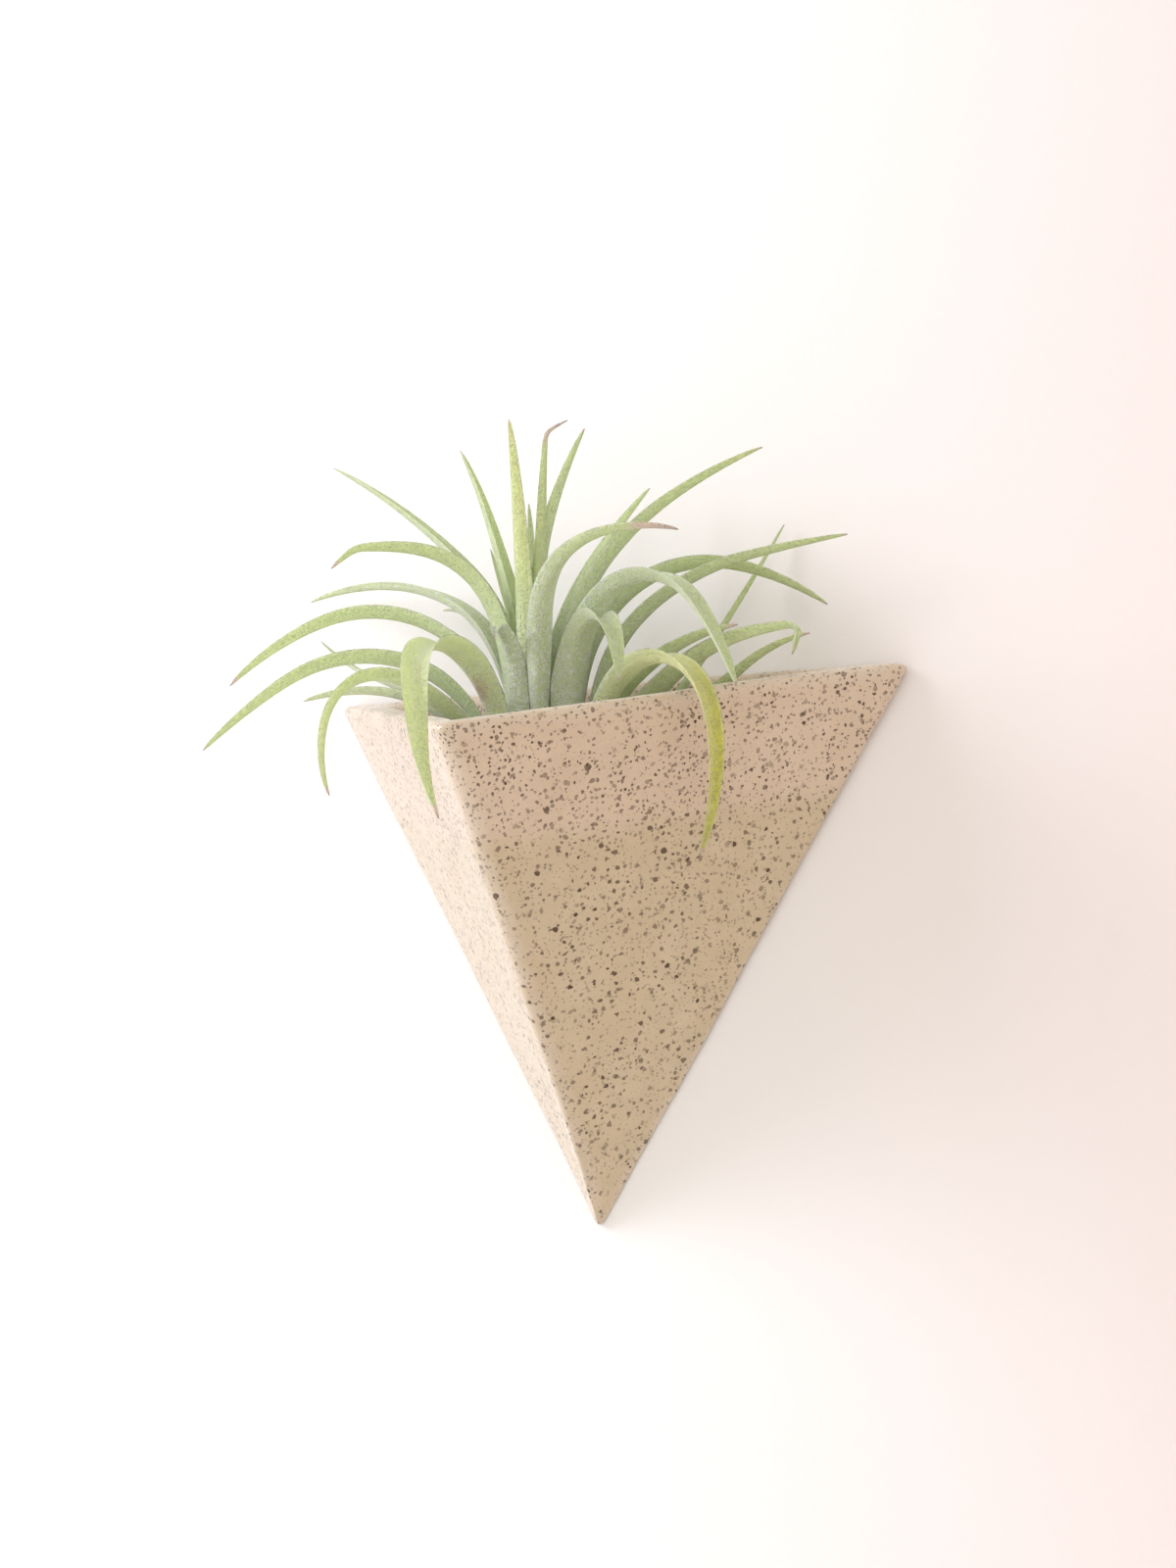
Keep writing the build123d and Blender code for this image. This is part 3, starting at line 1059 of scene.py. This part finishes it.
LEAF_PLANS = (
    LeafPlan(0.00, 181, 0, (70, 52, 28, 4, -12), 0, 0.65, 0.68, LeafLook.PALE),
    LeafPlan(0.00, 14, 0, (50, 50, 44, 40, 12), 0, 0.56, 0.68, LeafLook.DRY_TIPPED),
    LeafPlan(0.02, 331, 0, (86, 50, -20, -82, -118), 0, 0.89, 0.76, LeafLook.YELLOWING),
    LeafPlan(0.02, 222, 0, (72, 50, 22, -74, -112), 0, 0.70, 0.78, LeafLook.DRY_TIPPED),
    LeafPlan(0.12, 165, 0, (62, 42, 22, 22, 40), 0, 0.80, 0.42, LeafLook.PALE),
    LeafPlan(0.10, 357, 0, (70, 54, 36, 10, -5), -100, 0.64, 0.84, LeafLook.FRESH),
    LeafPlan(0.12, 203, 0, (80, 54, 6, -36, -46), 0, 0.86, 0.84, LeafLook.FRESH),
    LeafPlan(0.15, 30, 0, (54, 54, 58, 60, 62), 0, 0.71, 0.45, LeafLook.FRESH),
    LeafPlan(0.15, 245, 125, (74, 60, -22, -78, -62), 0, 0.86, 0.90, LeafLook.BANDED),
    LeafPlan(0.22, 318, 0, (82, 90, 52, -40, -84), 0, 0.60, 0.96, LeafLook.SILVERY),
    LeafPlan(0.22, 150, 0, (82, 70, 56, 32, 8), 0, 0.66, 0.42, LeafLook.PALE),
    LeafPlan(0.25, 352, 0, (78, 64, 37, 20, 2), 0, 0.50, 0.74, LeafLook.BLUNT_TIPPED),
    LeafPlan(0.28, 163, 0, (86, 68, 28, 8, -6), 0, 1.02, 0.66, LeafLook.PALE),
    LeafPlan(0.28, 190, 0, (90, 62, 20, -22, -42), 0, 0.92, 0.84, LeafLook.DRY_TIPPED),
    LeafPlan(0.32, 12, 0, (88, 76, 38, 12, 8), 0, 0.82, 0.66, LeafLook.DOWNY),
    LeafPlan(0.40, 100, 0, (94, 82, 72, 68, 64), 0, 0.48, 0.56, LeafLook.PALE),
    LeafPlan(0.42, 212, 0, (88, 86, 62, 5, -16), -30, 0.74, 0.90, LeafLook.DRY_TIPPED),
    LeafPlan(0.42, 334, 0, (88, 80, 6, -48, -64), 0, 0.88, 0.82, LeafLook.SILVERY),
    LeafPlan(0.50, 170, 0, (88, 74, 43, 36, 29), 0, 0.99, 0.60, LeafLook.DOWNY),
    LeafPlan(0.50, 24, 0, (94, 81, 38, -12, -34), 0, 0.83, 0.86, LeafLook.DOWNY),
    LeafPlan(0.53, 249, 50, (74, 82, 86, 26, -62), 0, 0.36, 0.70, LeafLook.CHALKY),
    LeafPlan(0.52, 286, 112, (76, 84, 38, 12, -8), 0, 0.70, 0.66, LeafLook.PEACH_TIPPED),
    LeafPlan(0.62, 75, 0, (94, 86, 78, 70, 62), 0, 0.46, 0.56, LeafLook.PALE),
    LeafPlan(0.62, 141, 0, (84, 66, 58, 54, 56), 0, 0.59, 0.32, LeafLook.FRESH),
    LeafPlan(0.71, 10, 0, (91, 86, 53, 32, 20), 0, 0.79, 0.66, LeafLook.DOWNY),
    LeafPlan(0.74, 183, 0, (92, 85, 73, 70, 62), 0, 0.67, 0.68, LeafLook.FRESH),
    LeafPlan(0.85, 57, 0, (96, 84, 65, 56, 50), 0, 0.62, 0.72, LeafLook.DOWNY),
    LeafPlan(0.86, 345, 0, (104, 102, 86, 68, 56), 0, 0.65, 0.56, LeafLook.SILVERY),
    LeafPlan(0.90, 128, 0, (84, 76, 72, 69, 66), 0, 0.56, 0.36, LeafLook.FRESH),
    LeafPlan(0.92, 232, 0, (89, 88, 85, 84, 82), 0, 0.64, 0.76, LeafLook.BRIGHT),
    LeafPlan(1.00, 300, 50, (92, 92, 89, 88, 86), -72, 0.65, 0.38, LeafLook.WITHERED_TIP),
)


@dataclass(frozen=True)
class NeckSizes:
    """Bulb and neck of the plant, in metres, as in the solids."""

    bulb_below_rim: float = 34.4 * MM
    seat_clearance: float = 0.3 * MM
    crown_forward: float = 10.5 * MM
    crown_rise: float = 26.5 * MM
    crown_aside: float = 1 * MM
    neck_radius: float = 10.6 * MM
    crown_radius: float = 3.6 * MM
    leaf_seat: float = 0.6 * MM
    start_share: float = 0.32

    def inset(self, pocket: PocketSizes) -> float:
        """Distance of the bulb's centre from the outside of each of the pocket's walls."""
        return (pocket.height - self.bulb_below_rim) / (pocket.inward[2] + pocket.slope)

    def ball(self, pocket: PocketSizes) -> float:
        """Radius of the bulb, which just clears the inside of the pocket."""
        return self.inset(pocket) - pocket.slab - self.seat_clearance

    def bulb(self, pocket: PocketSizes) -> np.ndarray:
        """Centre of the bulb, seated between the pocket's three walls."""
        return pocket.tip + pocket.inward * self.inset(pocket)

    def crown(self, pocket: PocketSizes) -> np.ndarray:
        """Centre of the crown at the top of the neck."""
        lean = np.array([-self.crown_aside, -self.crown_forward, self.crown_rise])
        return self.bulb(pocket) + lean

    def axis_point(self, pocket: PocketSizes, share: float) -> np.ndarray:
        """Point a share of the way up the neck."""
        start = self.bulb(pocket) + (self.crown(pocket) - self.bulb(pocket)) * self.start_share
        return start + (self.crown(pocket) - start) * share


@dataclass
class Leaf:
    """One channelled leaf that arches out of the neck and tapers to a point."""

    number: int
    plan: LeafPlan
    pocket: PocketSizes
    neck: NeckSizes
    length: float = 100 * MM
    width: float = 10 * MM
    least_width: float = 0.25 * MM
    thickness: float = 1.3 * MM
    thickest_share: float = 0.8
    thinning_share: float = 0.75
    edge_thinning_share: float = 0.6
    root_width_share: float = 0.3
    root_spread_share: float = 0.35
    taper_power: float = 0.5
    channel_share: float = 0.38
    brim_share: float = 0.48
    dry_bend_at: float = 0.90
    dry_bend_over: float = 0.03
    least_down: float = 0.12
    down_from: float = 0.1
    dry_edges: tuple[float, float] = (1.6, 0.2)
    yellow_edges: tuple[float, float] = (0.3, 0.75)
    tip_lightening: float = 0.6
    bruise_at: float = 0.27
    bruise_length: float = 0.03
    bruise_breadth: float = 0.4
    bruise_strength: float = 0.8
    stations: int = 56
    smoothed_stations: int = 7
    around: int = 22

    @property
    def name(self) -> str:
        """Name of the leaf's solid."""
        return f"leaf_{self.number:02d}"

    def spine(self) -> tuple[np.ndarray, np.ndarray, np.ndarray, np.ndarray]:
        """The leaf's midrib.

        Returns:
            The share along it, its points, its direction and its sideways direction.
        """
        plan = self.plan
        share = np.linspace(0, 1, self.stations)
        pitch = np.interp(share, (0, 0.25, 0.5, 0.75, 1), plan.pitches)
        window = self.smoothed_stations
        padded = np.pad(pitch, window // 2, mode="reflect", reflect_type="odd")
        pitch = np.convolve(padded, np.ones(window) / window, mode="valid")
        bent = np.clip((share - self.dry_bend_at) / self.dry_bend_over, 0, 1)
        pitch = np.radians(pitch + plan.dry_bend * bent)
        compass = np.radians(plan.heading + plan.turn * share**2)
        flat = np.cos(pitch)
        along = np.stack([flat * np.cos(compass), flat * np.sin(compass), np.sin(pitch)], 1)
        side = np.stack([-np.sin(compass), np.cos(compass), 0 * compass], 1)
        reach = self.neck.neck_radius - self.neck.leaf_seat
        tip_reach = self.neck.crown_radius - self.neck.leaf_seat
        reach += (tip_reach - reach) * plan.height_share
        heading = math.radians(plan.heading)
        start = self.neck.axis_point(self.pocket, plan.height_share)
        start = start + reach * np.array([math.cos(heading), math.sin(heading), 0])
        steps = (along[1:] + along[:-1]) / 2 * self.length * plan.length_share / (self.stations - 1)
        return share, np.vstack([start, start + np.cumsum(steps, axis=0)]), along, side

    def build(self, skin: bpy.types.Material) -> bpy.types.Object:
        """Makes the leaf, dresses it and puts it on the plant's body.

        Args:
            skin: Material for the leaf.

        Returns:
            The finished piece.
        """
        plan = self.plan
        look = plan.look
        share, points, along, side = self.spine()
        up = np.cross(along, side)
        root = self.root_width_share
        spread = root + (1 - root) * np.clip(share / self.root_spread_share, 0, 1)
        taper = (1 - share) ** self.taper_power
        width = np.maximum(self.width * plan.width_share * spread * taper, self.least_width)
        thick = self.thickness * (1 - self.thinning_share * share)
        thick = np.clip(thick, self.least_width, None)
        thick = np.minimum(thick, self.thickest_share * width)
        turn = np.linspace(0, 2 * math.pi, self.around, endpoint=False)
        u = np.cos(turn)
        sink = self.channel_share * width[:, None]
        lift = self.brim_share * sink - sink * (1 - u**2)
        body = thick[:, None] / 2 * (1 + np.sin(turn) * (1 - self.edge_thinning_share * u**2))
        sideways = width[:, None] / 2 * u
        shell = (
            points[:, None, :]
            + sideways[..., None] * side[:, None, :]
            + (lift + body)[..., None] * up[:, None, :]
        ).reshape(-1, 3)
        faces = [face[::-1] for face in tube_faces(self.stations, self.around)]
        faces.append(tuple(range(self.around)))
        last = (self.stations - 1) * self.around
        faces.append(tuple(range(last + self.around - 1, last - 1, -1)))
        marks = self.marks(share, look, u, np.sin(turn))
        piece = make_mesh(self.name + "_blade", shell, faces, marks)
        piece.data.materials.append(skin)
        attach(piece, "air_plant")
        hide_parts(self.name)
        return piece

    def marks(
        self, share: np.ndarray, look: LeafLook, across: np.ndarray, upper: np.ndarray
    ) -> dict[str, np.ndarray]:
        """Numbers that the leaf's skin reads at each point.

        Args:
            share: Share along the leaf for each station.
            look: How the leaf is coloured.
            across: Place across the leaf for each point of a station, from -1 to 1.
            upper: 1 on the upper face and -1 on the lower one.

        Returns:
            The marks by name.
        """
        ones = np.ones(len(across))
        every = np.ones(len(share))
        fade = 1 - smooth_step(self.down_from, look.down_reach, share)
        frost = look.down * (self.least_down + (1 - self.least_down) * fade)
        fresh, dried = (1 - edge * look.dry_share for edge in self.dry_edges)
        dry = smooth_step(fresh, dried, share)
        yellow = look.yellow * smooth_step(*self.yellow_edges, share)
        depth = look.depth * (1 - self.tip_lightening * share)
        bruised = self.bruise_strength * (look is LeafLook.BANDED)
        spot = bruised * np.exp(-(((share - self.bruise_at) / self.bruise_length) ** 2))
        marks = {
            "along": np.outer(share, ones),
            "across": np.outer(every, across),
            "upper": np.outer(every, 0.5 + 0.5 * upper),
            "frost": np.outer(frost, ones),
            "dry": np.outer(dry, ones),
            "lime": np.outer(yellow, ones),
            "depth": np.outer(depth, ones),
            "number": np.full((len(share), len(across)), float(self.number)),
            "bruise": np.outer(spot, np.exp(-((across / self.bruise_breadth) ** 2))),
        }
        return {name: values.ravel() for name, values in marks.items()}


@dataclass(frozen=True)
class SheathSkin:
    """Papery sheath on the bulb: silver-brown scales with pale edges."""

    husk: Colour = shade(150, 138, 112)
    pale: Colour = shade(202, 198, 178)
    brown: Colour = shade(112, 92, 70)
    stains: Mottle = Mottle(5 * MM, 3, 0.5, 0.75, 1.0)
    fibres: Bumps = Bumps(0.8 * MM, 4, 0.15 * MM)
    fibre_stretch: tuple[float, float, float] = (1, 1, 0.25)
    fibre_edges: tuple[float, float] = (0.35, 0.7)
    roughness: float = 0.75

    def material(self) -> bpy.types.Material:
        """The finished sheath.

        Returns:
            The material.
        """
        bench = ShaderBench("papery_sheath")
        place = bench.place()
        stretched = bench.node("ShaderNodeVectorMath", {"operation": "MULTIPLY"})
        bench.feed(stretched.inputs[0], place)
        stretched.inputs[1].default_value = self.fibre_stretch
        fibre = bench.grain(stretched.outputs[0], self.fibres.size, self.fibres.detail)
        colour = bench.blend(bench.step(fibre, *self.fibre_edges), self.husk, self.pale)
        colour = bench.blend(bench.patches(place, self.stains), colour, self.brown)
        colour = bench.blend(bench.mark("tip"), colour, self.pale)
        husk = bench.node(
            "ShaderNodeBsdfPrincipled",
            Base_Color=colour,
            Roughness=self.roughness,
            Normal=bench.relief(fibre, self.fibres.depth),
        )
        return bench.surface(husk.outputs["BSDF"])


@dataclass
class PlantBase:
    """Bulb and neck under overlapping papery sheaths, one for each leaf.

    The pairs of scale sizes are for a leaf at the foot of the neck and one at its top.
    """

    pocket: PocketSizes = field(default_factory=PocketSizes)
    neck: NeckSizes = field(default_factory=NeckSizes)
    skin: SheathSkin = field(default_factory=SheathSkin)
    stations: int = 40
    around: int = 48
    neck_inset: float = 0.3 * MM
    neck_from: float = 0.3
    top_share: float = 0.98
    foot_share: float = 0.9995
    crowding: float = 0.8
    scale_rows: int = 14
    scale_columns: int = 13
    scale_lengths: tuple[float, float] = (15 * MM, 9 * MM)
    scale_widths: tuple[float, float] = (6.4 * MM, 3.0 * MM)
    scale_outline: tuple[float, float] = (0.16, 0.96)
    scale_fullness: float = 0.8
    scale_overlap: float = 2.4 * MM
    scale_depth: float = 0.55 * MM
    scale_edge_lift: float = 0.25
    scale_curl: float = 0.5
    scale_stagger: float = 0.02 * MM
    scale_layers: int = 7
    least_radius: float = 2 * MM
    pale_edge: float = 0.7
    pale_side_power: int = 3
    pale_end_power: int = 4

    def profile(self, height: np.ndarray) -> np.ndarray:
        """Radius of the bulb and neck.

        Args:
            height: Heights above the bulb's centre along the leaning axis, in metres.

        Returns:
            The radius at each height.
        """
        neck = self.neck
        ball = neck.ball(self.pocket) - self.scale_depth
        axis = np.linalg.norm(neck.crown(self.pocket) - neck.bulb(self.pocket))
        start = axis * neck.start_share
        slope = (neck.neck_radius - neck.crown_radius) / (axis - start)
        cone = neck.neck_radius - slope * (height - start) - self.neck_inset
        dome = np.sqrt(np.clip(neck.crown_radius**2 - (height - axis) ** 2, 0, None))
        bulb = np.sqrt(np.clip(ball**2 - height**2, 0, None))
        upper = np.where(height > axis, dome, cone)
        return np.where(height > self.neck_from * start, np.maximum(bulb, upper), bulb)

    def frame(self) -> tuple[np.ndarray, np.ndarray, np.ndarray, np.ndarray, float]:
        """The leaning frame that the bulb and neck are built in.

        Returns:
            The bulb's centre, two sideways directions, the axis and its length.
        """
        centre = self.neck.bulb(self.pocket)
        axis = self.neck.crown(self.pocket) - centre
        length = float(np.linalg.norm(axis))
        axis = axis / length
        first = unit(np.cross(np.array([0.0, 1.0, 0.0]), axis))
        return centre, first, np.cross(axis, first), axis, length

    def surface_point(self, height: np.ndarray, turn: np.ndarray, lift: np.ndarray) -> np.ndarray:
        """Points on or above the skin of the bulb and neck.

        Args:
            height: Heights above the bulb's centre along the axis, in metres.
            turn: Angles round the axis.
            lift: Heights above the skin, in metres.

        Returns:
            The points.
        """
        centre, first, second, axis, _ = self.frame()
        radius = self.profile(height) + lift
        return (
            centre
            + height[..., None] * axis
            + (radius * np.cos(turn))[..., None] * first
            + (radius * np.sin(turn))[..., None] * second
        )

    def scale(
        self, plan: LeafPlan, number: int
    ) -> tuple[np.ndarray, list[tuple[int, ...]], np.ndarray]:
        """One sheath below a leaf: an egg-shaped scale that hugs the bulb.

        Args:
            plan: The leaf above the sheath.
            number: Number of the leaf.

        Returns:
            The sheath's points, faces and how near each point is to its pale edge.
        """
        centre, first, second, axis, _ = self.frame()
        root = self.neck.axis_point(self.pocket, plan.height_share)
        height = float((root - centre) @ axis)
        heading = math.radians(plan.heading)
        out = np.array([math.cos(heading), math.sin(heading), 0])
        turn = math.atan2(float(out @ second), float(out @ first))
        rows, columns = self.scale_rows, self.scale_columns
        up = np.linspace(0, 1, rows)[:, None]
        across = np.linspace(-1, 1, columns)[None, :]
        reach = np.interp(plan.height_share, (0, 1), self.scale_lengths)
        broad = np.interp(plan.height_share, (0, 1), self.scale_widths)
        heights = height + self.scale_overlap - reach * (1 - up)
        heights = np.repeat(heights, columns, axis=1)
        radius = np.maximum(self.profile(heights), self.least_radius)
        outline = np.sin(math.pi * np.interp(up, (0, 1), self.scale_outline))
        half_width = broad * outline**self.scale_fullness
        turns = turn + across * half_width / radius
        edge_lift = self.scale_edge_lift
        bulge = (edge_lift + (1 - edge_lift) * up) * (1 - self.scale_curl * across**2)
        lift = self.scale_depth * bulge + self.scale_stagger * (number % self.scale_layers)
        points = self.surface_point(heights, turns, lift).reshape(-1, 3)
        faces = []
        for row in range(rows - 1):
            for column in range(columns - 1):
                corner = row * columns + column
                faces.append((corner, corner + 1, corner + columns + 1, corner + columns))
        edge = np.maximum(np.abs(across) ** self.pale_side_power, up**self.pale_end_power)
        return points, faces, self.pale_edge * edge.ravel()

    def build(self) -> bpy.types.Object:
        """Makes the bulb with its sheaths and puts it on the plant's body.

        Returns:
            The finished piece.
        """
        *_, length = self.frame()
        ball = self.neck.ball(self.pocket) - self.scale_depth
        rise = (1 - np.cos(np.linspace(0, math.pi / 2, self.stations))) ** self.crowding
        top = length + self.neck.crown_radius * self.top_share
        heights = -ball * self.foot_share + (top + ball) * rise
        turns = np.linspace(0, 2 * math.pi, self.around, endpoint=False)
        grid_height, grid_turn = np.meshgrid(heights, turns, indexing="ij")
        core = self.surface_point(grid_height, grid_turn, np.zeros_like(grid_height)).reshape(-1, 3)
        faces = tube_faces(self.stations, self.around)
        faces.append(tuple(range(self.around))[::-1])
        last = (self.stations - 1) * self.around
        faces.append(tuple(range(last, last + self.around)))
        points, tips = [core], [np.zeros(len(core))]
        start = len(core)
        for number, plan in enumerate(LEAF_PLANS, start=1):
            scale, patches, edge = self.scale(plan, number)
            points.append(scale)
            tips.append(edge)
            faces.extend(tuple(corner + start for corner in patch) for patch in patches)
            start += len(scale)
        piece = make_mesh("sheathed_bulb", np.vstack(points), faces, {"tip": np.concatenate(tips)})
        piece.data.materials.append(self.skin.material())
        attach(piece, "air_plant")
        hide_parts("plant_base")
        return piece


@dataclass
class AirPlant:
    """The whole plant: sheathed bulb and a rosette of leaves."""

    pocket: PocketSizes = field(default_factory=PocketSizes)
    neck: NeckSizes = field(default_factory=NeckSizes)
    skin: LeafSkin = field(default_factory=LeafSkin)

    def build(self) -> list[bpy.types.Object]:
        """Makes the bulb and every leaf.

        Returns:
            The finished pieces.
        """
        pieces = [PlantBase(self.pocket, self.neck).build()]
        skin = self.skin.material()
        for number, plan in enumerate(LEAF_PLANS, start=1):
            pieces.append(Leaf(number, plan, self.pocket, self.neck).build(skin))
        return pieces


@dataclass(frozen=True)
class WallPaint:
    """Matt wall paint, white on the window side, with a painted shade that makes it darker and
    warmer away from the window.
    """

    lit: Colour = shade(230, 230, 226)
    far_side_shade: Colour = shade(218, 207, 202)
    fade: tuple[float, float] = (-50 * MM, 200 * MM)
    grain: Bumps = Bumps(1.2 * MM, 3, 0.05 * MM)

    def material(self) -> bpy.types.Material:
        """The finished paint.

        Returns:
            The material.
        """
        bench = ShaderBench("wall_paint")
        place = bench.place()
        aside = bench.node("ShaderNodeSeparateXYZ", Vector=place).outputs[0]
        # Painted shade: the paint turns darker and warmer away from the window lamp.
        colour = bench.blend(bench.step(aside, *self.fade), self.lit, self.far_side_shade)
        relief = bench.bumpy(place, self.grain)
        paint = bench.node("ShaderNodeBsdfDiffuse", Color=colour, Normal=relief)
        return bench.surface(paint.outputs[0])


@dataclass(frozen=True)
class Lamp:
    """Square soft light.

    Attributes:
        name: Name of the light.
        place: Where it hangs, in metres.
        size: Length of its sides, in metres.
        power: Its power in watts.
        colour: Its colour.
    """

    name: str
    place: tuple[float, float, float]
    size: float
    power: float
    colour: Colour

    def hang(self, target: Vector) -> None:
        """Adds the light to the scene.

        Args:
            target: Point that it faces.
        """
        light = bpy.data.lights.new(self.name, "AREA")
        light.size = self.size
        light.energy = self.power
        light.color = self.colour
        lamp = bpy.data.objects.new(self.name, light)
        lamp.location = self.place
        lamp.rotation_euler = (target - Vector(self.place)).to_track_quat("-Z", "Y").to_euler()
        bpy.context.scene.collection.objects.link(lamp)


@dataclass
class Studio:
    """Wall, floor, lamps and camera."""

    pocket: PocketSizes = field(default_factory=PocketSizes)
    wall_width: float = 3.2
    wall_top: float = 1.3
    wall_gap: float = 0.4 * MM
    opening_share: float = 0.93
    floor_level: float = -0.42
    floor_reach: float = 2.4
    cove: float = 0.12
    cove_steps: int = 9
    sharp_angle: float = math.radians(10)
    paint: WallPaint = field(default_factory=WallPaint)
    lamps: tuple[Lamp, ...] = (
        Lamp("window", (-1.0, -0.5, 0.5), 0.7, 16.2, (0.87, 0.855, 1.0)),
        Lamp("room", (0.7, -1.3, 0.4), 1.2, 4.8, (1.0, 0.97, 0.94)),
    )
    lamp_target: tuple[float, float, float] = (0, -20 * MM, -20 * MM)
    air_colour: Colour = (1, 0.945, 0.905)
    air_strength: float = 0.91
    camera_place: tuple[float, float, float] = (182.1 * MM, -371.9 * MM, -72.3 * MM)
    camera_azimuth: float = 26.70
    camera_elevation: float = -8.83
    camera_roll: float = 1.13
    lens: float = 45.0
    sensor_width: float = 36.0
    nearest: float = 10 * MM

    def backdrop(self) -> bpy.types.Object:
        """Wall and floor joined by a cove, open behind the pocket so that its back is lit too.

        Returns:
            The backdrop.
        """
        gap, cove, half = self.wall_gap, self.cove, self.wall_width / 2
        profile = [
            (gap - cove * (1 - math.cos(turn)), self.floor_level + cove * (1 - math.sin(turn)))
            for turn in np.linspace(0, math.pi / 2, self.cove_steps)
        ]
        profile.append((-self.floor_reach, self.floor_level))
        points = [(x, y, z) for y, z in profile for x in (-half, half)]
        start = len(points)
        faces = [(low, low + 1, low + 3, low + 2) for low in range(0, start - 2, 2)]
        left, _, right = self.pocket.corners
        tip = self.pocket.tip
        centre = (left + right + tip) / 3
        for corner in (left, right, tip):
            x, _, z = centre + (corner - centre) * self.opening_share
            points.append((x, gap, z))
        points += [(-half, gap, self.wall_top), (half, gap, self.wall_top)]
        hole_left, hole_right, hole_tip, top_left, top_right = range(start, start + 5)
        faces += [
            (top_left, top_right, hole_right, hole_left),
            (top_right, 1, hole_tip, hole_right),
            (top_left, hole_left, hole_tip, 0),
            (0, hole_tip, 1),
        ]
        backdrop = make_mesh("backdrop", np.array(points), faces, {})
        backdrop.data.set_sharp_from_angle(angle=self.sharp_angle)
        backdrop.data.materials.append(self.paint.material())
        return backdrop

    def air(self) -> None:
        """Even warm white light from all round."""
        world = bpy.data.worlds.new("studio_light")
        world.use_nodes = True
        background = world.node_tree.nodes["Background"]
        background.inputs["Color"].default_value = (*self.air_colour, 1)
        background.inputs["Strength"].default_value = self.air_strength
        bpy.context.scene.world = world

    def camera(self) -> None:
        """Camera at the photograph's viewing angle."""
        turn = math.radians(self.camera_azimuth)
        rise = math.radians(self.camera_elevation)
        roll = math.radians(self.camera_roll)
        flat = math.cos(rise)
        back = Vector((math.sin(turn) * flat, -math.cos(turn) * flat, math.sin(rise)))
        right = (-back).cross(Vector((0, 0, 1))).normalized()
        up = right.cross(-back)
        rolled_right = right * math.cos(roll) + up * math.sin(roll)
        rolled_up = up * math.cos(roll) - right * math.sin(roll)
        matrix = Matrix((rolled_right, rolled_up, back)).transposed().to_4x4()
        matrix.translation = Vector(self.camera_place)
        data = bpy.data.cameras.new("camera")
        data.lens = self.lens
        data.sensor_width = self.sensor_width
        data.clip_start = self.nearest
        camera = bpy.data.objects.new("camera", data)
        camera.matrix_world = matrix
        bpy.context.scene.collection.objects.link(camera)
        bpy.context.scene.camera = camera

    def build(self) -> None:
        """Sets up the wall, the floor, the light and the camera."""
        self.backdrop()
        self.air()
        for lamp in self.lamps:
            lamp.hang(Vector(self.lamp_target))
        self.camera()
        bpy.context.scene.view_settings.view_transform = "Standard"


def main() -> None:
    """Builds the holder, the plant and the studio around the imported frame."""
    logging.basicConfig(level=logging.INFO, format="%(message)s")
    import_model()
    pocket = StonewarePocket()
    LOG.info("built %s", pocket.build().name)
    for piece in AirPlant(pocket.sizes).build():
        LOG.info("built %s", piece.name)
    Studio(pocket.sizes).build()
    LOG.info("set up the wall, light and camera")


if __name__ == "__main__":
    main()
